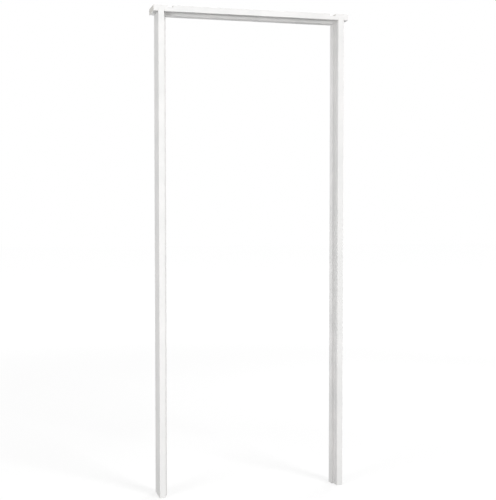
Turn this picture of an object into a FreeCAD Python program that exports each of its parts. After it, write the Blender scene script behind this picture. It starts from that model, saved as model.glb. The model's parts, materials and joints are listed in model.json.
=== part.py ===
"""Door lining: a housed head, two legs and three planted stops, screwed and nailed together.

Frame: +Z up, +X across the doorway, -Y towards the side that the door closes from.
Origin: on the floor, midway between the legs and midway through the lining's depth.
All sizes are in millimetres.
"""

import FreeCAD, Part

import os

import Sketcher
from FreeCAD import Rotation, Vector

os.makedirs("parts", exist_ok=True)
doc = FreeCAD.newDocument("DoorLining")

# Driving sizes: name, value, what it measures
DRIVING_SIZES = (
    ("clear_width", 766, "between the legs: a 762 door with 2 each side"),
    ("soffit_height", 2042, "floor to the underside of the head"),
    ("lining_depth", 108, "front edge to back edge: the finished wall"),
    ("leg_thickness", 25, "board thickness of the legs"),
    ("head_thickness", 25, "board thickness of the head"),
    ("horn_length", 20, "head beyond each leg's outer face"),
    ("housing_depth", 8, "depth of each groove across the head"),
    ("housing_gap", 0.3, "groove width less the leg's thickness"),
    ("door_step", 38, "from a housing to the one for the next narrower door"),
    ("arris", 1, "radius of the eased long edges"),
    ("rebate_depth", 38, "front edge of the leg to the face of the stop"),
    ("stop_width", 36, "stop, along the lining's depth"),
    ("stop_thickness", 12, "stop, out from the leg"),
    ("stop_gap", 0.3, "joint at each cut end of a stop"),
    ("screw_inset", 26, "screw's axis in from the front or back edge"),
    ("screw_length", 60, "overall"),
    ("screw_head", 9, "diameter of the countersunk head"),
    ("screw_rim", 0.3, "upright edge of the screw's head"),
    ("screw_shank", 3, "diameter"),
    ("screw_tip", 6, "length of the pointed end"),
    ("screw_sink", 0.2, "top of the screw below the head board"),
    ("screw_pass", 5, "diameter of the clearance hole in the head board"),
    ("sink_angle", 90, "degrees across the countersink"),
    ("recess_span", 4.4, "screw's cross recess, tip to tip"),
    ("recess_slot", 1, "width of each slot of the recess"),
    ("recess_depth", 2, "depth of the recess"),
    ("brad_length", 30, "overall"),
    ("brad_width", 1.6, "flat wire, along the stop"),
    ("brad_thickness", 1.4, "flat wire, across the stop"),
    ("brad_head", 3, "width of the T-shaped head, along the stop"),
    ("brad_head_height", 1, "height of the head"),
    ("brad_tip", 2.5, "length of the chisel point"),
    ("brad_sink", 0.5, "head driven below the stop's face"),
    ("brad_margin", 75, "end brad's axis in from the end of the stop"),
    ("leg_brads", 6, "brads in each leg stop"),
    ("head_brads", 3, "brads in the head stop"),
    ("bite_gap", 0.1, "hole's width over what is driven into it"),
    ("bite_depth_gap", 1, "hole past the point of what is driven into it"),
    ("drill_angle", 118, "degrees across a drill's point"),
)

sheet = doc.addObject("Spreadsheet::Sheet", "Sizes")
for row, (alias, value, note) in enumerate(DRIVING_SIZES, start=1):
    sheet.set(f"A{row}", note)
    sheet.set(f"B{row}", str(value))
    sheet.setAlias(f"B{row}", alias)
doc.recompute()

# Lengths and places worked out from the driving sizes, as formulas
LEG_CENTRE = "(Sizes.clear_width + Sizes.leg_thickness) / 2"
LEG_LENGTH = "(Sizes.soffit_height + Sizes.housing_depth)"
HEAD_LENGTH = "(Sizes.clear_width + 2 * Sizes.leg_thickness + 2 * Sizes.horn_length)"
HOUSING_WIDTH = "(Sizes.leg_thickness + Sizes.housing_gap)"
STOP_CENTRE = "(Sizes.rebate_depth + (Sizes.stop_width - Sizes.lining_depth) / 2)"
LEG_STOP_LENGTH = "(Sizes.soffit_height - Sizes.stop_thickness - Sizes.stop_gap)"
HEAD_STOP_LENGTH = "(Sizes.clear_width - 2 * Sizes.stop_gap)"
SCREW_SPACING = "(Sizes.lining_depth - 2 * Sizes.screw_inset)"
SCREW_GRIP = "(Sizes.head_thickness - Sizes.housing_depth - Sizes.screw_sink)"
COUNTERSINK = (
    "Sizes.screw_head"
    " + 2 * (Sizes.screw_sink + Sizes.screw_rim) * tan(Sizes.sink_angle / 2 * 1 deg)"
)
PILOT = "Sizes.screw_shank + Sizes.bite_gap"
BRAD_SEAT = "Sizes.brad_sink + Sizes.brad_head_height"
BRAD_BITE = (
    "Sizes.brad_length + Sizes.brad_sink - Sizes.stop_thickness + Sizes.bite_depth_gap"
)
HEAD_SLOT = "Sizes.brad_head + Sizes.bite_gap"
WIRE_SLOT = "Sizes.brad_width + Sizes.bite_gap"
SLOT_ACROSS = "Sizes.brad_thickness + Sizes.bite_gap"
LEG_BRAD_RUN = f"{LEG_STOP_LENGTH} - 2 * Sizes.brad_margin"
HEAD_BRAD_RUN = f"{HEAD_STOP_LENGTH} - 2 * Sizes.brad_margin"
FIRST_HEAD_BRAD = f"Sizes.brad_margin - {HEAD_STOP_LENGTH} / 2"

LEFT = -1
RIGHT = 1
ALONG_X = Vector(1, 0, 0)
ALONG_Z = Vector(0, 0, 1)


def origin_part(body, role):
    """A body's own origin plane or axis."""
    return next(part for part in body.Origin.OriginFeatures if part.Role == role)


def new_body(label):
    body = doc.addObject("PartDesign::Body", label)
    body.Label = label
    return body


def new_sketch(body, role, name, across="0", up="0", out="0"):
    """A sketch on an origin plane, moved across and up it, and out along its normal."""
    sketch = body.newObject("Sketcher::SketchObject", name)
    sketch.AttachmentSupport = [(origin_part(body, role), "")]
    sketch.MapMode = "FlatFace"
    sketch.setExpression("AttachmentOffset.Base.x", across)
    sketch.setExpression("AttachmentOffset.Base.y", up)
    sketch.setExpression("AttachmentOffset.Base.z", out)
    return sketch


def draw_outline(sketch, corners):
    """A closed outline of straight lines through the corners."""
    count = len(corners)
    for side in range(count):
        line = Part.LineSegment(corners[side], corners[(side + 1) % count])
        sketch.addGeometry(line, False)
    for side in range(count):
        sketch.addConstraint(Sketcher.Constraint("Coincident", side, 2, (side + 1) % count, 1))


def set_size(sketch, name, formula, kind, *ends):
    """A named dimension of the sketch, tied to a formula."""
    size = float(sketch.evalExpression(formula))
    index = sketch.addConstraint(Sketcher.Constraint(kind, *ends, size))
    sketch.renameConstraint(index, name)
    sketch.setExpression(f"Constraints.{name}", formula)


def draw_rectangle(sketch, width, height):
    """A rectangle centred on the sketch's origin."""
    half_width = float(sketch.evalExpression(width)) / 2
    half_height = float(sketch.evalExpression(height)) / 2
    draw_outline(
        sketch,
        [
            Vector(-half_width, -half_height, 0),
            Vector(half_width, -half_height, 0),
            Vector(half_width, half_height, 0),
            Vector(-half_width, half_height, 0),
        ],
    )
    for side in (0, 2):
        sketch.addConstraint(Sketcher.Constraint("Horizontal", side))
    for side in (1, 3):
        sketch.addConstraint(Sketcher.Constraint("Vertical", side))
    sketch.addConstraint(Sketcher.Constraint("Symmetric", 0, 1, 2, 1, -1, 1))
    set_size(sketch, "width", width, "DistanceX", 0, 1, 0, 2)
    set_size(sketch, "height", height, "DistanceY", 1, 1, 1, 2)


def draw_circle(sketch, diameter):
    """A circle centred on the sketch's origin."""
    radius = float(sketch.evalExpression(diameter)) / 2
    sketch.addGeometry(Part.Circle(Vector(0, 0, 0), ALONG_Z, radius), False)
    sketch.addConstraint(Sketcher.Constraint("Coincident", 0, 3, -1, 1))
    set_size(sketch, "diameter", diameter, "Diameter", 0)


def draw_half_section(sketch, tip, corners):
    """Half of a fastener's section: its top centre is the origin, and its tip is below it.

    Each corner between them is a formula for its distance out and one for its depth.
    """
    length = float(sketch.evalExpression(tip))
    points = [Vector(0, 0, 0)]
    for out, down in corners:
        away = float(sketch.evalExpression(out))
        below = float(sketch.evalExpression(down))
        points.append(Vector(away, -below, 0))
    points.append(Vector(0, -length, 0))
    draw_outline(sketch, points)
    last = len(points) - 1
    sketch.addConstraint(Sketcher.Constraint("Coincident", 0, 1, -1, 1))
    sketch.addConstraint(Sketcher.Constraint("Horizontal", 0))
    sketch.addConstraint(Sketcher.Constraint("PointOnObject", last, 1, -2))
    set_size(sketch, "tip", tip, "DistanceY", last, 1, -1, 1)
    for number, (out, down) in enumerate(corners, start=1):
        set_size(sketch, f"out{number}", out, "DistanceX", -1, 1, number, 1)
        if number > 1:
            set_size(sketch, f"down{number}", down, "DistanceY", number, 1, -1, 1)


def pad(sketch, body, name, length):
    feature = body.newObject("PartDesign::Pad", name)
    feature.Profile = sketch
    feature.setExpression("Length", length)
    doc.recompute()
    return feature


def cut(sketch, body, name, depth=None, backwards=False):
    """A pocket to a depth, or right through the board on both sides of the sketch."""
    feature = body.newObject("PartDesign::Pocket", name)
    feature.Profile = sketch
    feature.Reversed = backwards
    if depth:
        feature.setExpression("Length", depth)
    else:
        feature.Type = "ThroughAll"
        feature.SideType = "Symmetric"
    doc.recompute()
    return feature


def ease_edges(body, base, name, direction, wanted):
    """Rounds the arrises that run along a direction and whose middle is wanted."""
    edges = [
        f"Edge{number}"
        for number, edge in enumerate(base.Shape.Edges, start=1)
        if abs(edge.tangentAt(edge.FirstParameter).dot(direction)) > 0.999
        and wanted(edge.CenterOfMass)
    ]
    fillet = body.newObject("PartDesign::Fillet", name)
    fillet.Base = (base, edges)
    fillet.setExpression("Radius", "Sizes.arris")
    doc.recompute()
    return fillet


def drill(sketch, body, name, diameter, depth=None):
    """A drilled hole: blind to a depth with a drill's point, or right through."""
    draw_circle(sketch, diameter)
    doc.recompute()
    hole = body.newObject("PartDesign::Hole", name)
    hole.Profile = sketch
    hole.setExpression("Diameter", diameter)
    if depth:
        hole.DepthType = "Dimension"
        hole.DrillPoint = "Angled"
        hole.setExpression("Depth", depth)
        hole.setExpression("DrillPointAngle", "Sizes.drill_angle")
    else:
        hole.DepthType = "ThroughAll"
        hole.DrillPoint = "Flat"
    doc.recompute()
    return hole


def step(body, features, name, axis, length, count):
    """A straight row of the same features, along one of the body's axes."""
    pattern = body.newObject("PartDesign::LinearPattern", name)
    pattern.Originals = features
    pattern.Direction = (origin_part(body, axis), [""])
    pattern.setExpression("Length", length)
    pattern.setExpression("Occurrences", count)
    body.Tip = pattern
    doc.recompute()
    return pattern


def mirror(body, features, name):
    """The same features on the other side of the doorway."""
    mirrored = body.newObject("PartDesign::Mirrored", name)
    mirrored.Originals = features
    mirrored.MirrorPlane = (origin_part(body, "YZ_Plane"), [""])
    body.Tip = mirrored
    doc.recompute()
    return mirrored


def four_corners(body, features, name):
    """The same features at the front and back of one corner, and at the other end of the head."""
    corners = body.newObject("PartDesign::MultiTransform", name)
    corners.Originals = features
    pair = body.newObject("PartDesign::LinearPattern", f"{name}_pair")
    pair.Direction = (origin_part(body, "Y_Axis"), [""])
    pair.setExpression("Length", SCREW_SPACING)
    pair.Occurrences = 2
    ends = body.newObject("PartDesign::Mirrored", f"{name}_ends")
    ends.MirrorPlane = (origin_part(body, "YZ_Plane"), [""])
    corners.Transformations = [pair, ends]
    body.Tip = corners
    doc.recompute()
    return corners


def make_head():
    """The head: a board with a pair of housings below, and a narrower pair above.

    Turned over, the same board takes the legs of the next narrower door.
    """
    body = new_body("head")
    body.setExpression("Placement.Base.z", "Sizes.soffit_height")

    outline = new_sketch(body, "XY_Plane", "head_outline")
    draw_rectangle(outline, HEAD_LENGTH, "Sizes.lining_depth")
    board = pad(outline, body, "head_board", "Sizes.head_thickness")
    ease_edges(body, board, "head_arrises", ALONG_X, lambda middle: True)

    below = new_sketch(
        body, "XZ_Plane", "leg_housing_end", LEG_CENTRE, "Sizes.housing_depth / 2"
    )
    draw_rectangle(below, HOUSING_WIDTH, "Sizes.housing_depth")
    leg_housing = cut(below, body, "leg_housing")

    above = new_sketch(
        body,
        "XZ_Plane",
        "narrow_housing_end",
        f"{LEG_CENTRE} - Sizes.door_step",
        "Sizes.head_thickness - Sizes.housing_depth / 2",
    )
    draw_rectangle(above, HOUSING_WIDTH, "Sizes.housing_depth")
    narrow_housing = cut(above, body, "narrow_housing")
    mirror(body, [leg_housing, narrow_housing], "other_housings")

    screw_centre = new_sketch(
        body,
        "XY_Plane",
        "head_screw_centre",
        LEG_CENTRE,
        f"-{SCREW_SPACING} / 2",
        "Sizes.head_thickness",
    )
    screw_hole = drill(screw_centre, body, "screw_hole", "Sizes.screw_pass")
    screw_hole.HoleCutType = "Countersink"
    screw_hole.HoleCutCustomValues = True
    screw_hole.setExpression("HoleCutDiameter", COUNTERSINK)
    screw_hole.setExpression("HoleCutCountersinkAngle", "Sizes.sink_angle")
    doc.recompute()
    four_corners(body, [screw_hole], "screw_holes")

    wire_end = new_sketch(body, "XY_Plane", "head_brad_end", FIRST_HEAD_BRAD, STOP_CENTRE)
    draw_rectangle(wire_end, WIRE_SLOT, SLOT_ACROSS)
    slot = cut(wire_end, body, "head_brad_slot", BRAD_BITE, backwards=True)
    step(body, [slot], "head_brad_slots", "X_Axis", HEAD_BRAD_RUN, "Sizes.head_brads")
    return body


def make_leg(label, side):
    """A leg: a plain board whose top end stands in the head's housing."""
    body = new_body(label)
    body.setExpression("Placement.Base.x", f"{side} * {LEG_CENTRE}")

    outline = new_sketch(body, "XY_Plane", f"{label}_outline")
    draw_rectangle(outline, "Sizes.leg_thickness", "Sizes.lining_depth")
    board = pad(outline, body, f"{label}_board", LEG_LENGTH)
    ease_edges(body, board, f"{label}_arrises", ALONG_Z, lambda middle: True)

    screw_centre = new_sketch(
        body, "XY_Plane", f"{label}_screw_centre", "0", f"-{SCREW_SPACING} / 2", LEG_LENGTH
    )
    pilot = drill(
        screw_centre,
        body,
        f"{label}_pilot",
        PILOT,
        f"Sizes.screw_length - {SCREW_GRIP} + Sizes.bite_depth_gap",
    )
    step(body, [pilot], f"{label}_pilots", "Y_Axis", SCREW_SPACING, "2")

    wire_end = new_sketch(
        body,
        "YZ_Plane",
        f"{label}_brad_end",
        STOP_CENTRE,
        "Sizes.brad_margin",
        f"{-side} * Sizes.leg_thickness / 2",
    )
    draw_rectangle(wire_end, SLOT_ACROSS, WIRE_SLOT)
    slot = cut(wire_end, body, f"{label}_brad_slot", BRAD_BITE, backwards=side == RIGHT)
    step(body, [slot], f"{label}_brad_slots", "Z_Axis", LEG_BRAD_RUN, "Sizes.leg_brads")
    return body


def make_leg_stop(label, side):
    """A stop planted on a leg: it stands on the floor and ends under the head stop."""
    body = new_body(label)
    body.setExpression(
        "Placement.Base.x", f"{side} * (Sizes.clear_width - Sizes.stop_thickness) / 2"
    )
    body.setExpression("Placement.Base.y", STOP_CENTRE)

    outline = new_sketch(body, "XY_Plane", f"{label}_outline")
    draw_rectangle(outline, "Sizes.stop_thickness", "Sizes.stop_width")
    strip = pad(outline, body, f"{label}_strip", LEG_STOP_LENGTH)
    ease_edges(body, strip, f"{label}_arrises", ALONG_Z, lambda middle: middle.x * side < 0)

    place = ("0", "Sizes.brad_margin", f"{-side} * Sizes.stop_thickness / 2")
    wire_end = new_sketch(body, "YZ_Plane", f"{label}_wire_end", *place)
    draw_rectangle(wire_end, SLOT_ACROSS, WIRE_SLOT)
    wire_slot = cut(wire_end, body, f"{label}_wire_slot")
    head_end = new_sketch(body, "YZ_Plane", f"{label}_head_end", *place)
    draw_rectangle(head_end, SLOT_ACROSS, HEAD_SLOT)
    head_slot = cut(head_end, body, f"{label}_head_slot", BRAD_SEAT, backwards=side == RIGHT)
    slots = [wire_slot, head_slot]
    step(body, slots, f"{label}_brad_slots", "Z_Axis", LEG_BRAD_RUN, "Sizes.leg_brads")
    return body


def make_head_stop():
    """The stop planted under the head, from leg to leg."""
    body = new_body("head_stop")
    body.setExpression("Placement.Base.y", STOP_CENTRE)
    body.setExpression("Placement.Base.z", "Sizes.soffit_height - Sizes.stop_thickness")

    outline = new_sketch(body, "XY_Plane", "head_stop_outline")
    draw_rectangle(outline, HEAD_STOP_LENGTH, "Sizes.stop_width")
    strip = pad(outline, body, "head_stop_strip", "Sizes.stop_thickness")
    half = strip.Shape.BoundBox.ZLength / 2
    ease_edges(body, strip, "head_stop_arrises", ALONG_X, lambda middle: middle.z < half)

    wire_end = new_sketch(body, "XY_Plane", "head_stop_wire_end", FIRST_HEAD_BRAD)
    draw_rectangle(wire_end, WIRE_SLOT, SLOT_ACROSS)
    wire_slot = cut(wire_end, body, "head_stop_wire_slot")
    head_end = new_sketch(body, "XY_Plane", "head_stop_head_end", FIRST_HEAD_BRAD)
    draw_rectangle(head_end, HEAD_SLOT, SLOT_ACROSS)
    head_slot = cut(head_end, body, "head_stop_head_slot", BRAD_SEAT, backwards=True)
    slots = [wire_slot, head_slot]
    step(body, slots, "head_stop_brad_slots", "X_Axis", HEAD_BRAD_RUN, "Sizes.head_brads")
    return body


def make_screws():
    """Four countersunk screws, down through the head board into the legs' end grain."""
    body = new_body("head_screws")
    body.setExpression(
        "Placement.Base.z", "Sizes.soffit_height + Sizes.head_thickness - Sizes.screw_sink"
    )
    cone_end = (
        "Sizes.screw_rim"
        " + (Sizes.screw_head - Sizes.screw_shank) / 2 / tan(Sizes.sink_angle / 2 * 1 deg)"
    )
    section = new_sketch(
        body, "XZ_Plane", "screw_section", LEG_CENTRE, "0", f"{SCREW_SPACING} / 2"
    )
    draw_half_section(
        section,
        "Sizes.screw_length",
        (
            ("Sizes.screw_head / 2", "0"),
            ("Sizes.screw_head / 2", "Sizes.screw_rim"),
            ("Sizes.screw_shank / 2", cone_end),
            ("Sizes.screw_shank / 2", "Sizes.screw_length - Sizes.screw_tip"),
        ),
    )
    screw = body.newObject("PartDesign::Revolution", "screw")
    screw.Profile = section
    screw.ReferenceAxis = (section, ["V_Axis"])
    screw.Angle = 360
    doc.recompute()

    features = [screw]
    spans = (("Sizes.recess_span", "Sizes.recess_slot"), ("Sizes.recess_slot", "Sizes.recess_span"))
    for number, (width, height) in enumerate(spans, start=1):
        outline = new_sketch(
            body, "XY_Plane", f"recess_outline{number}", LEG_CENTRE, f"-{SCREW_SPACING} / 2"
        )
        draw_rectangle(outline, width, height)
        features.append(cut(outline, body, f"recess{number}", "Sizes.recess_depth"))
    four_corners(body, features, "all_screws")
    return body


def make_brad_row(label, turn, run, count):
    """A row of flat-wire brads with T heads and chisel points, all driven the same way."""
    body = new_body(label)
    body.Placement.Rotation = Rotation(Vector(0, 1, 0), turn)
    body.setExpression("Placement.Base.y", STOP_CENTRE)
    section = new_sketch(body, "XZ_Plane", f"{label}_section")
    draw_half_section(
        section,
        "Sizes.brad_length",
        (
            ("Sizes.brad_head / 2", "0"),
            ("Sizes.brad_head / 2", "Sizes.brad_head_height"),
            ("Sizes.brad_width / 2", "Sizes.brad_head_height"),
            ("Sizes.brad_width / 2", "Sizes.brad_length - Sizes.brad_tip"),
        ),
    )
    half = pad(section, body, f"{label}_half", "Sizes.brad_thickness")
    half.SideType = "Symmetric"
    doc.recompute()
    row = body.newObject("PartDesign::MultiTransform", f"{label}_row")
    row.Originals = [half]
    whole = body.newObject("PartDesign::Mirrored", f"{label}_whole")
    whole.MirrorPlane = (origin_part(body, "YZ_Plane"), [""])
    along = body.newObject("PartDesign::LinearPattern", f"{label}_along")
    along.Direction = (origin_part(body, "X_Axis"), [""])
    along.setExpression("Length", run)
    along.setExpression("Occurrences", count)
    row.Transformations = [whole, along]
    body.Tip = row
    doc.recompute()
    return body


def make_brads():
    """Every brad of the three stops: the two rows in the legs and the one in the head."""
    face = "(Sizes.clear_width / 2 - Sizes.stop_thickness + Sizes.brad_sink)"
    left = make_brad_row("left_brads", 90, LEG_BRAD_RUN, "Sizes.leg_brads")
    left.setExpression("Placement.Base.x", f"-{face}")
    left.setExpression("Placement.Base.z", f"{LEG_STOP_LENGTH} - Sizes.brad_margin")

    right = make_brad_row("right_brads", -90, LEG_BRAD_RUN, "Sizes.leg_brads")
    right.setExpression("Placement.Base.x", face)
    right.setExpression("Placement.Base.z", "Sizes.brad_margin")

    overhead = make_brad_row("overhead_brads", 180, HEAD_BRAD_RUN, "Sizes.head_brads")
    overhead.setExpression("Placement.Base.x", f"{HEAD_STOP_LENGTH} / 2 - Sizes.brad_margin")
    overhead.setExpression(
        "Placement.Base.z", "Sizes.soffit_height - Sizes.stop_thickness + Sizes.brad_sink"
    )

    brads = doc.addObject("Part::Compound", "stop_brads")
    brads.Label = "stop_brads"
    brads.Links = [left, right, overhead]
    return brads


sub_parts = [
    make_head(),
    make_leg("left_leg", LEFT),
    make_leg("right_leg", RIGHT),
    make_head_stop(),
    make_leg_stop("left_stop", LEFT),
    make_leg_stop("right_stop", RIGHT),
    make_screws(),
    make_brads(),
]
doc.recompute()

for item in doc.Objects:
    if {"Invalid", "Error"} & set(item.State):
        raise RuntimeError(f"{item.Label} failed: {item.State}")
for part in sub_parts:
    if part.Shape.isNull() or not part.Shape.isValid():
        raise RuntimeError(f"{part.Label} has no valid shape")

for part in sub_parts:
    part.Shape.exportStep(f"parts/{part.Label}.step")
    box = part.Shape.BoundBox
    print(
        f"{part.Label}: {len(part.Shape.Solids)} solids, {part.Shape.Volume:.1f} mm3,"
        f" x {box.XMin:.2f}..{box.XMax:.2f}, y {box.YMin:.2f}..{box.YMax:.2f},"
        f" z {box.ZMin:.2f}..{box.ZMax:.2f}"
    )
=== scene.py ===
# %% [markdown]
# A door lining is the wooden inner frame of a doorway. This one is the common white primed kind:
# a head with a horn at each end, two legs that stand in grooves under the head, and three thin
# stops that the door closes against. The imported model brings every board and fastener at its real
# size. This lesson gives the boards their finish, models the screws and the filled nail holes in
# full, and sets up the floor, the lamps and the camera.

import json
import math

import bpy
from mathutils import Matrix, Vector

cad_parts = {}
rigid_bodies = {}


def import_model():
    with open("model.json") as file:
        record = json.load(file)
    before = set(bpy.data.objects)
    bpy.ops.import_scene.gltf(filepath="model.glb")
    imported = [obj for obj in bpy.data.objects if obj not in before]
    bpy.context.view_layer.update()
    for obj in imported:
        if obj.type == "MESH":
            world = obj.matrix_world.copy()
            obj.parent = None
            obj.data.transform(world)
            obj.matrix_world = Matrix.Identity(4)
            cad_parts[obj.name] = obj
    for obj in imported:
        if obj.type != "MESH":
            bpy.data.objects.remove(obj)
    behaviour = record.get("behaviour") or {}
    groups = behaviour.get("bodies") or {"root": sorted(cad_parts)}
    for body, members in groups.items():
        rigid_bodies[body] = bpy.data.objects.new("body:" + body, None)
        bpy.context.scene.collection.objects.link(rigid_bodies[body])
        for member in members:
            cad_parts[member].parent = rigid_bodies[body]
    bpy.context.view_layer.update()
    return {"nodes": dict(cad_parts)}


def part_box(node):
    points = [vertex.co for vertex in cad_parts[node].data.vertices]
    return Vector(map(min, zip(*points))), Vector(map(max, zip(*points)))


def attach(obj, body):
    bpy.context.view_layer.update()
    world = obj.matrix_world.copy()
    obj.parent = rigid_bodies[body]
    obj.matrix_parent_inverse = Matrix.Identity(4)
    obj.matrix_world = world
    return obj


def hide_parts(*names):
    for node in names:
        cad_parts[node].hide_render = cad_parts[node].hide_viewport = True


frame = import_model()
scene = bpy.context.scene
bpy.ops.object.select_all(action="DESELECT")
print("nodes:", ", ".join(sorted(frame["nodes"])))

# %% [markdown]
# Blender works in metres here, and a joiner in millimetres. Every length below is written in
# millimetres and multiplied by MM, so that it can be read off like a cutting list.

# %% Lengths in millimetres
MM = 0.001

for board in ("head", "left_leg", "head_stop", "left_stop"):
    low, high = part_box(board)
    print(board, "measures", " x ".join(f"{side / MM:.1f}" for side in high - low), "mm")

# %% [markdown]
# Colours are written as they look on a screen, in sRGB hex, and a shader wants them linear. One
# function turns the one into the other. Another adds a node, sets it and links it, so that each
# finish reads as a short list of what its surface is made of.

# %% Helpers for the finishes


def linear(code):
    """An sRGB hex colour as the linear colour that a shader takes."""
    channels = [int(code[i : i + 2], 16) / 255 for i in (1, 3, 5)]
    return [c / 12.92 if c <= 0.04045 else ((c + 0.055) / 1.055) ** 2.4 for c in channels] + [1.0]


def add_node(tree, kind, settings=None, **inputs):
    """A node with its settings. An input is a value, or an output socket to link."""
    node = tree.nodes.new(kind)
    for name, value in (settings or {}).items():
        setattr(node, name, value)
    for name, value in inputs.items():
        socket = node.inputs[int(name[1:]) if name[1:].isdigit() else name.replace("_", " ")]
        if isinstance(value, bpy.types.NodeSocket):
            tree.links.new(value, socket)
        else:
            socket.default_value = value
    return node


def empty_tree(owner):
    """A material's or world's node tree with nothing in it."""
    owner.use_nodes = True
    owner.node_tree.nodes.clear()
    return owner.node_tree


def finish_with(tree, **inputs):
    """The main shader of a surface, and the output that it goes to."""
    shader = add_node(tree, "ShaderNodeBsdfPrincipled", **inputs)
    add_node(tree, "ShaderNodeOutputMaterial", Surface=shader.outputs["BSDF"])


print("primer white in linear light:", [round(c, 3) for c in linear("#eeedec")])

# %% [markdown]
# The boards are medium-density fibreboard, cut and machined, then sprayed white in the factory
# with acrylic primer. It is a matt white. Close up it has three marks of how it was made:
# the fine orange peel that spray leaves, faint lines along the board from the sanding between
# coats, and cloudy patches where the coat is a little thicker or thinner. The eased edges take
# the least paint, and the sawn ends drink it, so they stay rougher. One function makes the finish
# for a board along a given axis, because the sanding lines have to follow each board's length.
#
# Where the paint is, comes from the way a face points. A face that looks along the board is a
# sawn end or the side of a groove, and a face that looks along no axis at all is an eased edge.

# %% White acrylic primer on fibreboard
ORANGE_PEEL = 6 * MM  # the real one is 1 to 2 mm, too fine to show at this distance
SANDING_GAP = 1.5 * MM  # 180 grit leaves lines finer than this
SANDING_RUN = 90 * MM
SANDING_SHARE = 0.35  # depth of the sanding lines beside the peel
CLOUD = 140 * MM
FIBRE = 0.8 * MM
FIBRE_SHARE = 1.6  # depth of the fibres beside the cutter's marks
PEEL_HEIGHT = 0.12 * MM  # drawn several times too high, so that it shows at all
FIBRE_HEIGHT = 0.06 * MM
CUTTER_MARK = 2.5 * MM  # feed of the cutter that makes the grooves
PRIMER_SHEEN = 0.25  # primer is full of chalk, so it mirrors half as much as gloss paint does
THICK_COAT, THIN_COAT = 0.6, 0.72  # roughness
SAWN_ROUGHER = 0.2
LOOKS_ALONG = 0.9  # a face whose normal is this much along the board is sawn or grooved
FLAT, ROUNDED = 0.98, 0.8  # the largest part of a normal, on a flat face and on an eased edge
WAVE_UNIT = 0.05 * 2 * math.pi  # a wave texture of scale 1 repeats after this many metres


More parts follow.
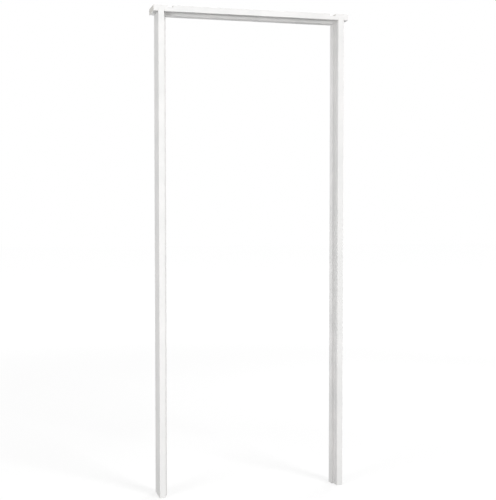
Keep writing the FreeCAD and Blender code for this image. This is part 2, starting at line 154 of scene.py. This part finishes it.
def primed_board(name, along):
    """White primer on a board that runs along one axis, a unit vector."""
    material = bpy.data.materials.new(name)
    tree = empty_tree(material)
    place = add_node(tree, "ShaderNodeTexCoord").outputs["Object"]
    facing = add_node(tree, "ShaderNodeNewGeometry").outputs["True Normal"]

    lengthways = add_node(
        tree, "ShaderNodeVectorMath", {"operation": "DOT_PRODUCT"}, _0=facing, _1=along
    )
    squareness = add_node(
        tree, "ShaderNodeMath", {"operation": "ABSOLUTE"}, _0=lengthways.outputs["Value"]
    )
    sawn = add_node(
        tree, "ShaderNodeMath", {"operation": "GREATER_THAN"}, _0=squareness.outputs[0], _1=LOOKS_ALONG
    ).outputs[0]

    sizes = add_node(tree, "ShaderNodeVectorMath", {"operation": "ABSOLUTE"}, _0=facing)
    parts = add_node(tree, "ShaderNodeSeparateXYZ", Vector=sizes.outputs[0])
    wider = add_node(
        tree, "ShaderNodeMath", {"operation": "MAXIMUM"}, _0=parts.outputs[0], _1=parts.outputs[1]
    )
    widest = add_node(
        tree, "ShaderNodeMath", {"operation": "MAXIMUM"}, _0=wider.outputs[0], _1=parts.outputs[2]
    )
    eased = add_node(
        tree,
        "ShaderNodeMapRange",
        Value=widest.outputs[0],
        From_Min=FLAT,
        From_Max=ROUNDED,
        To_Min=0.0,
        To_Max=1.0,
    ).outputs[0]

    clouds = add_node(
        tree, "ShaderNodeTexNoise", Vector=place, Scale=1 / CLOUD, Detail=3.0, Roughness=0.6
    ).outputs[0]
    cloudiness = add_node(
        tree, "ShaderNodeMapRange", Value=clouds, From_Min=0.35, From_Max=0.65
    ).outputs[0]
    coat = add_node(
        tree, "ShaderNodeMixRGB", Fac=cloudiness, Color1=linear("#eeedec"), Color2=linear("#e7e7e6")
    )
    thin_coat = add_node(
        tree, "ShaderNodeMixRGB", Fac=eased, Color1=coat.outputs[0], Color2=linear("#e3e1dd")
    )
    fibre = add_node(
        tree, "ShaderNodeTexNoise", Vector=place, Scale=1 / FIBRE, Detail=4.0, Roughness=0.7
    ).outputs[0]
    soaked = add_node(
        tree, "ShaderNodeMixRGB", Fac=fibre, Color1=linear("#d9d6d0"), Color2=linear("#ebeae6")
    )
    colour = add_node(
        tree, "ShaderNodeMixRGB", Fac=sawn, Color1=thin_coat.outputs[0], Color2=soaked.outputs[0]
    )

    gloss = add_node(
        tree, "ShaderNodeMapRange", Value=cloudiness, To_Min=THICK_COAT, To_Max=THIN_COAT
    ).outputs[0]
    dullness = add_node(
        tree, "ShaderNodeMath", {"operation": "MULTIPLY_ADD"}, _0=sawn, _1=SAWN_ROUGHER, _2=gloss
    )

    peel = add_node(
        tree, "ShaderNodeTexNoise", Vector=place, Scale=1 / ORANGE_PEEL, Detail=2.0
    ).outputs[0]
    stretch = [1 / (SANDING_RUN if part else SANDING_GAP) for part in along]
    lines_place = add_node(tree, "ShaderNodeMapping", Vector=place, Scale=stretch)
    lines = add_node(
        tree, "ShaderNodeTexNoise", Vector=lines_place.outputs[0], Scale=1.0, Detail=2.0
    ).outputs[0]
    sprayed = add_node(
        tree, "ShaderNodeMath", {"operation": "MULTIPLY_ADD"}, _0=lines, _1=SANDING_SHARE, _2=peel
    ).outputs[0]
    cutter = add_node(
        tree,
        "ShaderNodeTexWave",
        {"wave_type": "BANDS", "bands_direction": "Y"},
        Vector=place,
        Scale=WAVE_UNIT / CUTTER_MARK,
        Distortion=2.5,
        Detail=3.0,
    ).outputs["Fac"]
    rough = add_node(
        tree, "ShaderNodeMath", {"operation": "MULTIPLY_ADD"}, _0=fibre, _1=FIBRE_SHARE, _2=cutter
    ).outputs[0]
    sprayed_bump = add_node(
        tree, "ShaderNodeBump", Height=sprayed, Distance=PEEL_HEIGHT, Strength=1.0
    )
    rough_bump = add_node(
        tree, "ShaderNodeBump", Height=rough, Distance=FIBRE_HEIGHT, Strength=1.0
    )
    bump = add_node(
        tree,
        "ShaderNodeMixRGB",
        Fac=sawn,
        Color1=sprayed_bump.outputs[0],
        Color2=rough_bump.outputs[0],
    )

    finish_with(
        tree,
        Base_Color=colour.outputs[0],
        Roughness=dullness.outputs[0],
        Specular_IOR_Level=PRIMER_SHEEN,
        Normal=bump.outputs[0],
    )
    return material


PRIMER_UPRIGHT = primed_board("white_primer_on_upright_boards", Vector((0, 0, 1)))
PRIMER_LEVEL = primed_board("white_primer_on_level_boards", Vector((1, 0, 0)))
print("primer materials:", PRIMER_UPRIGHT.name, PRIMER_LEVEL.name)

# %% [markdown]
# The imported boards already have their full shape, with eased edges and cut grooves, so they only
# get their finish. The legs and their stops stand upright, and the head and its stop lie level.

# %% Prime the boards


def give_finish(piece, material):
    """The material on all of a piece's faces."""
    piece.data.materials.clear()
    piece.data.materials.append(material)


for board in ("left_leg", "right_leg", "left_stop", "right_stop"):
    give_finish(frame["nodes"][board], PRIMER_UPRIGHT)
for board in ("head", "head_stop"):
    give_finish(frame["nodes"][board], PRIMER_LEVEL)
print("boards primed: 4 upright, 2 level")

# %% [markdown]
# Four countersunk wood screws go down through the head into the legs. They are cold-headed steel
# wire with a rolled thread and a bright zinc plating. Zinc is a metal, so the shader is fully
# metallic and its colour is the colour of its reflections: a cool light grey. Plating from a
# tumbling barrel leaves small differences in gloss, which a fine noise gives.

# %% Zinc-plated steel
BARREL_MARK = 0.5 * MM
ZINC_RELIEF = 0.01 * MM


def plated_steel(name, bright, dull, gloss, matt, mark):
    """A bare metal coating whose colour and gloss both wander between two values."""
    material = bpy.data.materials.new(name)
    tree = empty_tree(material)
    place = add_node(tree, "ShaderNodeTexCoord").outputs["Object"]
    marks = add_node(
        tree, "ShaderNodeTexNoise", Vector=place, Scale=1 / mark, Detail=3.0, Roughness=0.6
    ).outputs[0]
    colour = add_node(
        tree, "ShaderNodeMixRGB", Fac=marks, Color1=linear(bright), Color2=linear(dull)
    )
    roughness = add_node(
        tree,
        "ShaderNodeMapRange",
        Value=marks,
        From_Min=0.3,
        From_Max=0.7,
        To_Min=gloss,
        To_Max=matt,
    )
    bump = add_node(tree, "ShaderNodeBump", Height=marks, Distance=ZINC_RELIEF, Strength=1.0)
    finish_with(
        tree,
        Base_Color=colour.outputs[0],
        Metallic=1.0,
        Roughness=roughness.outputs[0],
        Normal=bump.outputs[0],
    )
    return material


ZINC = plated_steel(
    "bright_zinc_on_steel", "#d8dcdf", "#bcc2c7", gloss=0.26, matt=0.4, mark=BARREL_MARK
)
print("screw finish:", ZINC.name)

# %% [markdown]
# A screw is a turned shape, so its body starts as a disc, the flat top of the head, which is
# extruded down and narrowed station by station: the thin upright rim, the cone that beds in the
# countersink, the plain shank, and the core of the threaded part. Reading the list is like
# reading the screw's drawing from the top.

# %% Turn the screw's head, shank and core
HEAD_ACROSS = 9 * MM
RIM = 0.3 * MM
SHANK = 3.4 * MM
CORE = 3.0 * MM
LENGTH = 60 * MM
THREAD_FROM = 26 * MM
RUN_OUT = 1.5 * MM
POINT = 6 * MM
ROUND = 32

_, screws_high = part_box("head_screws")
SCREW_X = screws_high.x - HEAD_ACROSS / 2
SCREW_Y = screws_high.y - HEAD_ACROSS / 2
SCREW_TOP = screws_high.z
CONE = (HEAD_ACROSS - SHANK) / 2  # a right-angled cone is as deep as it narrows

bpy.ops.mesh.primitive_circle_add(
    vertices=ROUND, radius=HEAD_ACROSS / 2, fill_type="NGON", location=(SCREW_X, SCREW_Y, SCREW_TOP)
)
screw = bpy.context.object
screw.name = "screw_pattern"
stations = (
    (HEAD_ACROSS, RIM),
    (SHANK, RIM + CONE),
    (SHANK, THREAD_FROM - RUN_OUT),
    (CORE, THREAD_FROM),
    (CORE, LENGTH - POINT),
    (CORE, LENGTH - POINT / 2),
    (CORE, LENGTH),
)
bpy.ops.object.mode_set(mode="EDIT")
bpy.ops.mesh.select_all(action="SELECT")
across, depth = HEAD_ACROSS, 0.0
for new_across, new_depth in stations:
    bpy.ops.mesh.extrude_region_move(TRANSFORM_OT_translate={"value": (0, 0, depth - new_depth)})
    narrower = new_across / across
    bpy.ops.transform.resize(value=(narrower, narrower, 1))
    across, depth = new_across, new_depth
bpy.ops.mesh.select_all(action="SELECT")
bpy.ops.mesh.normals_make_consistent(inside=False)
bpy.ops.object.mode_set(mode="OBJECT")
print("screw body:", len(screw.data.vertices), "vertices, axis at", round(SCREW_X / MM, 2))

# %% [markdown]
# The cross recess is what a driver bit fills. It is cut the way that a punch makes it: a tool of
# the same shape goes into the head, here with a Boolean modifier. The tool is a small block whose
# four sides are extruded into wings, and whose lower end is drawn in, because a real bit tapers.

# %% Punch the cross recess
SLOT = 1.0 * MM
SPAN = 4.4 * MM
RECESS = 2.0 * MM
ABOVE = 0.5 * MM
TAPER = 0.55  # of the bit's width is left at its tip


def select_faces(piece, wanted):
    """In edit mode, the faces whose normal is wanted, and no others."""
    bpy.ops.mesh.select_all(action="DESELECT")
    bpy.ops.object.mode_set(mode="OBJECT")
    for face in piece.data.polygons:
        face.select = wanted(face.normal)
    bpy.ops.object.mode_set(mode="EDIT")


bpy.ops.mesh.primitive_cube_add(
    size=1,
    location=(SCREW_X, SCREW_Y, SCREW_TOP + (ABOVE - RECESS) / 2),
    scale=(SLOT, SLOT, RECESS + ABOVE),
)
punch = bpy.context.object
bpy.ops.object.transform_apply(location=False, rotation=False, scale=True)
bpy.ops.object.mode_set(mode="EDIT")
bpy.ops.mesh.select_mode(type="FACE")
select_faces(punch, lambda normal: abs(normal.z) < 0.5)
bpy.ops.mesh.extrude_faces_move(TRANSFORM_OT_shrink_fatten={"value": (SPAN - SLOT) / 2})
select_faces(punch, lambda normal: normal.z < -0.5)
bpy.ops.transform.resize(value=(TAPER, TAPER, 1))
bpy.ops.mesh.select_all(action="SELECT")
bpy.ops.mesh.normals_make_consistent(inside=False)
bpy.ops.object.mode_set(mode="OBJECT")
print("punch spans", [round(side / MM, 2) for side in punch.dimensions], "mm")

bpy.ops.object.select_all(action="DESELECT")
bpy.context.view_layer.objects.active = screw
cut = screw.modifiers.new("recess", "BOOLEAN")
cut.operation = "DIFFERENCE"
cut.object = punch
bpy.ops.object.modifier_apply(modifier=cut.name)
bpy.data.objects.remove(punch)
print("screw with its recess:", len(screw.data.polygons), "faces")

# %% [markdown]
# The thread is a sharp ridge wound round the core. Its section is a triangle with its foot just
# inside the core: a three-sided circle, stood up with its corner outward, and stretched to the
# ridge's height. The Screw modifier sweeps it round and down, one pitch a turn, and the two open
# ends are filled.

# %% Wind the thread
PITCH = 2.5 * MM
TURNS = 13
CREST = 4.8 * MM
FLANK = 0.45 * MM  # half of the ridge's width at its foot
SUNK = 0.15 * MM  # foot below the core's surface
RIDGE = (CREST - CORE) / 2 + SUNK
STEPS = 20
TALL, HALF_FOOT = 1.5, math.sqrt(0.75)  # of a triangle whose corners are 1 from its middle

start = Vector((SCREW_X, SCREW_Y, SCREW_TOP - THREAD_FROM))
bpy.ops.mesh.primitive_circle_add(vertices=3, radius=1, location=start)
thread = bpy.context.object
bpy.ops.object.mode_set(mode="EDIT")
bpy.ops.mesh.select_mode(type="VERT")
bpy.ops.transform.rotate(value=math.pi / 2, orient_axis="Z", center_override=start)
bpy.ops.transform.rotate(value=math.pi / 2, orient_axis="X", center_override=start)
bpy.ops.transform.resize(value=(RIDGE / TALL, 1, FLANK / HALF_FOOT), center_override=start)
bpy.ops.transform.translate(value=(CREST / 2 - RIDGE * 2 / 3, 0, 0))
bpy.ops.object.mode_set(mode="OBJECT")
sweep = thread.modifiers.new("sweep", "SCREW")
sweep.axis = "Z"
sweep.screw_offset = -PITCH
sweep.iterations = TURNS
sweep.steps = sweep.render_steps = STEPS
bpy.ops.object.modifier_apply(modifier=sweep.name)
bpy.ops.object.mode_set(mode="EDIT")
bpy.ops.mesh.select_all(action="SELECT")
bpy.ops.mesh.fill_holes(sides=3)
bpy.ops.mesh.normals_make_consistent(inside=False)
bpy.ops.object.mode_set(mode="OBJECT")
print("thread:", TURNS, "turns,", len(thread.data.polygons), "faces")

# %% [markdown]
# A rolled thread fades in under the shank, and both the core and its ridge narrow to the point.
# Both are done with proportional editing, where what is near the selected points follows them by
# less and less: the ridge's first ring is pressed into the core, with only the connected points
# following, and then the joined screw's lowest points are drawn together on its axis.

# %% Fade the thread in and draw the point
FADE = 4 * MM
PRESSED = 0.6  # of the first ring's distance from the axis is left
TIP = 0.05  # of the core's width is left at the point
LEVEL_WITH = 0.01 * MM
SMOOTH_BELOW = math.radians(30)


def select_points(piece, wanted):
    """In edit mode, the points that are wanted by number or height, and no others."""
    bpy.ops.mesh.select_all(action="DESELECT")
    bpy.ops.object.mode_set(mode="OBJECT")
    for point in piece.data.vertices:
        point.select = wanted(point.index, point.co.z)
    bpy.ops.object.mode_set(mode="EDIT")


bpy.ops.object.mode_set(mode="EDIT")
select_points(thread, lambda number, height: number < 3)
bpy.ops.transform.resize(
    value=(PRESSED, PRESSED, 1),
    center_override=start,
    use_proportional_edit=True,
    proportional_edit_falloff="LINEAR",
    proportional_size=FADE,
    use_proportional_connected=True,
)
bpy.ops.object.mode_set(mode="OBJECT")

thread.select_set(True)
screw.select_set(True)
bpy.context.view_layer.objects.active = screw
bpy.ops.object.join()
tip_height = min(point.co.z for point in screw.data.vertices)
bpy.ops.object.mode_set(mode="EDIT")
select_points(screw, lambda number, height: height < tip_height + LEVEL_WITH)
bpy.ops.transform.resize(
    value=(TIP, TIP, 1),
    center_override=(SCREW_X, SCREW_Y, SCREW_TOP - LENGTH),
    use_proportional_edit=True,
    proportional_edit_falloff="LINEAR",
    proportional_size=POINT,
)
bpy.ops.object.mode_set(mode="OBJECT")
bpy.ops.object.transform_apply(location=True, rotation=True, scale=True)
bpy.ops.object.shade_smooth_by_angle(angle=SMOOTH_BELOW)
give_finish(screw, ZINC)
print("screw:", [round(side / MM, 2) for side in screw.dimensions], "mm")

# %% [markdown]
# One screw is modelled, and the other three are copies with meshes of their own. No two driven
# screws stop with their recess at the same angle, so each is turned on its axis by its own amount.
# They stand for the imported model's screws, which have no thread.

# %% Drive the four screws


def place_copy(pattern, name, move):
    """A copy of a piece with its own mesh, moved by a matrix, that rides on the lining."""
    piece = pattern.copy()
    piece.data = pattern.data.copy()
    piece.name = name
    piece.data.name = name
    piece.data.transform(move)
    scene.collection.objects.link(piece)
    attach(piece, "root")
    return piece


corners = [(side, edge) for side in (-1, 1) for edge in (-1, 1)]
angles = (12, 71, 38, -25)
to_axis = Matrix.Translation((-SCREW_X, -SCREW_Y, 0))
for number, ((side, edge), angle) in enumerate(zip(corners, angles), start=1):
    turned = Matrix.Rotation(math.radians(angle), 4, "Z")
    place = Matrix.Translation((side * SCREW_X, edge * SCREW_Y, 0))
    driven = place_copy(
        screw, f"head_screw_{number}", place @ turned @ to_axis
    )
    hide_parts("head_screws")
bpy.data.objects.remove(screw)
print("screws driven:", len(corners), "of", len(driven.data.polygons), "faces each")

# %% [markdown]
# The stops are nailed on with a brad gun. Its brads are slivers of galvanised wire with a T head,
# and the gun drives them half a millimetre under the face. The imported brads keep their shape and
# only get their metal: hot-dipped zinc is duller and greyer than plating, and its crystals, the
# spangle, are a few millimetres across on sheet but much finer on thin wire.

# %% Galvanised wire
SPANGLE = 0.9 * MM
GALVANISED = plated_steel(
    "galvanised_wire", "#b4b8ba", "#999fa2", gloss=0.42, matt=0.6, mark=SPANGLE
)
give_finish(frame["nodes"]["stop_brads"], GALVANISED)
print("brad finish:", GALVANISED.name)

# %% [markdown]
# A painter fills each brad's hole before the top coat goes on. The filler is rubbed down flush
# and then shrinks a little as it dries, so it leaves a shallow dish. One filling is modelled
# lying on its back, as a thin block that fits the slot, whose upper face is inset twice: the
# first inset keeps a flush rim, and the second makes the dish's floor, which is pressed in.

# %% Filler for the brads' slots
SLOT_ALONG = 3.1 * MM
SLOT_ACROSS = 1.5 * MM
SLOT_DEPTH = 0.5 * MM
RIM_KEPT = 0.15 * MM
DISH = 0.12 * MM

bpy.ops.object.select_all(action="DESELECT")
bpy.ops.mesh.primitive_cube_add(
    size=1, location=(0, 0, -SLOT_DEPTH / 2), scale=(SLOT_ALONG, SLOT_ACROSS, SLOT_DEPTH)
)
filling = bpy.context.object
bpy.ops.object.transform_apply(location=True, rotation=False, scale=True)
bpy.ops.object.mode_set(mode="EDIT")
bpy.ops.mesh.select_mode(type="FACE")
select_faces(filling, lambda normal: normal.z > 0.5)
bpy.ops.mesh.inset(thickness=RIM_KEPT, depth=0)
bpy.ops.mesh.inset(thickness=RIM_KEPT * 2, depth=-DISH)
bpy.ops.object.mode_set(mode="OBJECT")
print("filling:", [round(side / MM, 2) for side in filling.dimensions], "mm")

# %% [markdown]
# Acrylic filler dries chalk white and dead matt, with pinholes from the air that was stirred in.

# %% Acrylic filler
PINHOLE = 0.4 * MM
PINHOLE_DEPTH = 0.03 * MM
filler = bpy.data.materials.new("white_acrylic_filler")
tree = empty_tree(filler)
place = add_node(tree, "ShaderNodeTexCoord").outputs["Object"]
pores = add_node(tree, "ShaderNodeTexVoronoi", Vector=place, Scale=1 / PINHOLE).outputs["Distance"]
# The colour is darker towards the middle of each pinhole, which is painted shade in the pits, and the
# bump below presses them in.
chalk_and_painted_pinhole_shade = add_node(
    tree, "ShaderNodeMixRGB", Fac=pores, Color1=linear("#e6e5e1"), Color2=linear("#efeeeb")
)
pitted = add_node(tree, "ShaderNodeBump", Height=pores, Distance=PINHOLE_DEPTH, Strength=1.0)
finish_with(tree, Base_Color=chalk_and_painted_pinhole_shade.outputs[0], Roughness=0.85, Normal=pitted.outputs[0])
give_finish(filling, filler)
print("filler:", filler.name)

# %% [markdown]
# The fillings go where the brads are: six up each leg stop, facing into the doorway, and three
# along the head stop, facing down. Each place is a turn and a move of the one pattern.

# %% Fill the holes
END_MARGIN = 75 * MM
LEG_ROW, HEAD_ROW = 6, 3


def row_places(first, last, count):
    """Evenly spaced places from the first to the last."""
    return [first + (last - first) * step / (count - 1) for step in range(count)]


quarter = math.radians(90)
filled = 0
for side, stop in ((-1, "left_stop"), (1, "right_stop")):
    low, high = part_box(stop)
    face = high.x if side < 0 else low.x
    upright = Matrix.Rotation(-side * quarter, 4, "Y")
    for height in row_places(low.z + END_MARGIN, high.z - END_MARGIN, LEG_ROW):
        filled += 1
        move = Matrix.Translation((face, (low.y + high.y) / 2, height)) @ upright
        place_copy(filling, f"brad_filling_{filled:02d}", move)
low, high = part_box("head_stop")
for across in row_places(low.x + END_MARGIN, high.x - END_MARGIN, HEAD_ROW):
    filled += 1
    overhead = Matrix.Rotation(2 * quarter, 4, "X")
    move = Matrix.Translation((across, (low.y + high.y) / 2, low.z)) @ overhead
    place_copy(filling, f"brad_filling_{filled:02d}", move)
bpy.data.objects.remove(filling)
print("holes filled:", filled)

# %% [markdown]
# The room is a plain studio. The floor is a grey sheet that lights the undersides of the head only
# softly, so that the soffit keeps its shade. The eye sees it as white: Light Path knows which rays
# come from the camera, or mirror the floor in metal, and for those rays the sheet is paler and
# glows as well. The glow never reaches full white by itself. The lamps add the rest, and where the
# lining hides a lamp its share is missing, so the shadow stays. Far from the lamps the sheet is
# darker, so the glow is stronger there, and floor and background meet in one white.

# %% Floor
FLOOR_ACROSS = 60
LAMPLIT, UNLIT = 1.2, 6.0  # distances from the middle
GLOW_NEAR, GLOW_FAR = 0.595, 0.75


def seen_directly(tree):
    """1 for rays from the camera and for reflections and see-through, and 0 for other light."""
    path = add_node(tree, "ShaderNodeLightPath")
    mirrored = add_node(
        tree,
        "ShaderNodeMath",
        {"operation": "MAXIMUM"},
        _0=path.outputs["Is Glossy Ray"],
        _1=path.outputs["Is Transmission Ray"],
    )
    return add_node(
        tree,
        "ShaderNodeMath",
        {"operation": "MAXIMUM"},
        _0=path.outputs["Is Camera Ray"],
        _1=mirrored.outputs[0],
    ).outputs[0]


bpy.ops.mesh.primitive_plane_add(size=FLOOR_ACROSS, location=(0, 0, 0))
floor = bpy.context.object
floor.name = "studio_floor"
sheet = bpy.data.materials.new("grey_studio_sheet")
tree = empty_tree(sheet)
place = add_node(tree, "ShaderNodeTexCoord").outputs["Object"]
away = add_node(tree, "ShaderNodeVectorMath", {"operation": "LENGTH"}, _0=place)
eye_only = seen_directly(tree)
glow = add_node(
    tree,
    "ShaderNodeMapRange",
    Value=away.outputs["Value"],
    From_Min=LAMPLIT,
    From_Max=UNLIT,
    To_Min=GLOW_NEAR,
    To_Max=GLOW_FAR,
)
seen_glow = add_node(
    tree, "ShaderNodeMath", {"operation": "MULTIPLY"}, _0=glow.outputs[0], _1=eye_only
)
tone = add_node(
    tree, "ShaderNodeMixRGB", Fac=eye_only, Color1=linear("#7c7c7c"), Color2=linear("#acacac")
)
matt = add_node(tree, "ShaderNodeBsdfDiffuse", Color=tone.outputs[0])
light = add_node(tree, "ShaderNodeEmission", Strength=seen_glow.outputs[0])
both = add_node(tree, "ShaderNodeAddShader", _0=matt.outputs[0], _1=light.outputs[0])
add_node(tree, "ShaderNodeOutputMaterial", Surface=both.outputs[0])
give_finish(floor, sheet)
print("floor:", FLOOR_ACROSS, "m across")

# %% [markdown]
# The world is an even white, about six tenths as bright for the light that it gives as for the
# eye. It fills the shadows, and the softboxes then give the boards their form. Two stand far off
# on the right, one high and one lower, so that they light both fronts alike and leave the inside
# of the right leg and the face of its stop in shade. One on the left lights what faces left. Of
# the three behind, the low one reaches the underside of the head's stop, while the stop keeps that
# light off the soffit in front of it, which is what sets the two apart. A tall strip close behind
# the doorway does the same for the right leg, where it skims the side of the stop. The lamps
# behind have grids, which narrow their spread and keep their light off the floor. Two of them
# stand in the doorway's view, so the softboxes are hidden from the camera, and light the scene
# all the same.

# %% World and softboxes
FILL_LIGHT = 0.59
SEEN_WHITE = 1.0

world = bpy.data.worlds.new("white_studio")
scene.world = world
tree = empty_tree(world)
seen = add_node(tree, "ShaderNodeBackground", Strength=SEEN_WHITE)
lighting = add_node(tree, "ShaderNodeBackground", Strength=FILL_LIGHT)
for even in (seen, lighting):
    even.inputs["Color"].default_value = (1, 1, 1, 1)
pick = add_node(
    tree,
    "ShaderNodeMixShader",
    _0=seen_directly(tree),
    _1=lighting.outputs[0],
    _2=seen.outputs[0],
)
add_node(tree, "ShaderNodeOutputWorld", Surface=pick.outputs[0])

SOFTBOXES = (
    # name, place, aimed at, width and height in metres, degrees of spread, watts
    ("high_right", (4.6, -9.2, 7.0), (0, 0, 1.2), (4.0, 4.0), 180, 484),
    ("mid_right", (4.6, -9.2, 2.2), (0, 0, 1.2), (3.0, 3.0), 180, 203),
    ("mid_left", (-3.2, -2.4, 1.4), (0, 0, 1.0), (2.0, 2.0), 180, 71),
    ("high_back", (3.0, 3.2, 2.6), (0, 0, 1.0), (2.5, 2.5), 100, 20),
    ("low_back", (0.3, 4.0, 0.35), (0, 0, 2.0), (0.6, 0.6), 60, 5),
    ("strip_back", (-0.35, 1.5, 1.1), (0.3, 0, 1.1), (0.2, 2.0), 60, 1.4),
)
for name, place, aim, sides, spread, watts in SOFTBOXES:
    lamp = bpy.data.lights.new(name, "AREA")
    lamp.shape = "RECTANGLE"
    lamp.size, lamp.size_y = sides
    lamp.spread = math.radians(spread)
    lamp.energy = watts
    stand = bpy.data.objects.new(name, lamp)
    scene.collection.objects.link(stand)
    stand.visible_camera = False
    stand.location = place
    stand.rotation_euler = (Vector(aim) - Vector(place)).to_track_quat("-Z", "Y").to_euler()
print("softboxes:", ", ".join(box[0] for box in SOFTBOXES))

# %% [markdown]
# The lining is seen from the left of its middle, from a little above half its height. The lens is
# a short telephoto, about 73 mm on a 36 mm frame, four and a half metres away, so the legs stay
# nearly parallel. The camera looks down by about two degrees, which is why they converge a little.

# %% Camera
FRAME_SIDE = 36
FOCAL = 72.73
eye = Vector((-1.1362, -4.2272, 1.2141))
turn, tilt = math.radians(14.93), math.radians(-2.23)

lens = bpy.data.cameras.new("camera")
lens.sensor_width = FRAME_SIDE
lens.lens = FOCAL
camera = bpy.data.objects.new("camera", lens)
scene.collection.objects.link(camera)
camera.location = eye
ahead = Vector(
    (math.sin(turn) * math.cos(tilt), math.cos(turn) * math.cos(tilt), math.sin(tilt))
)
camera.rotation_euler = ahead.to_track_quat("-Z", "Y").to_euler()
scene.camera = camera
scene.view_settings.view_transform = "Standard"
print("camera is", round(eye.length, 2), "m from the foot of the doorway")
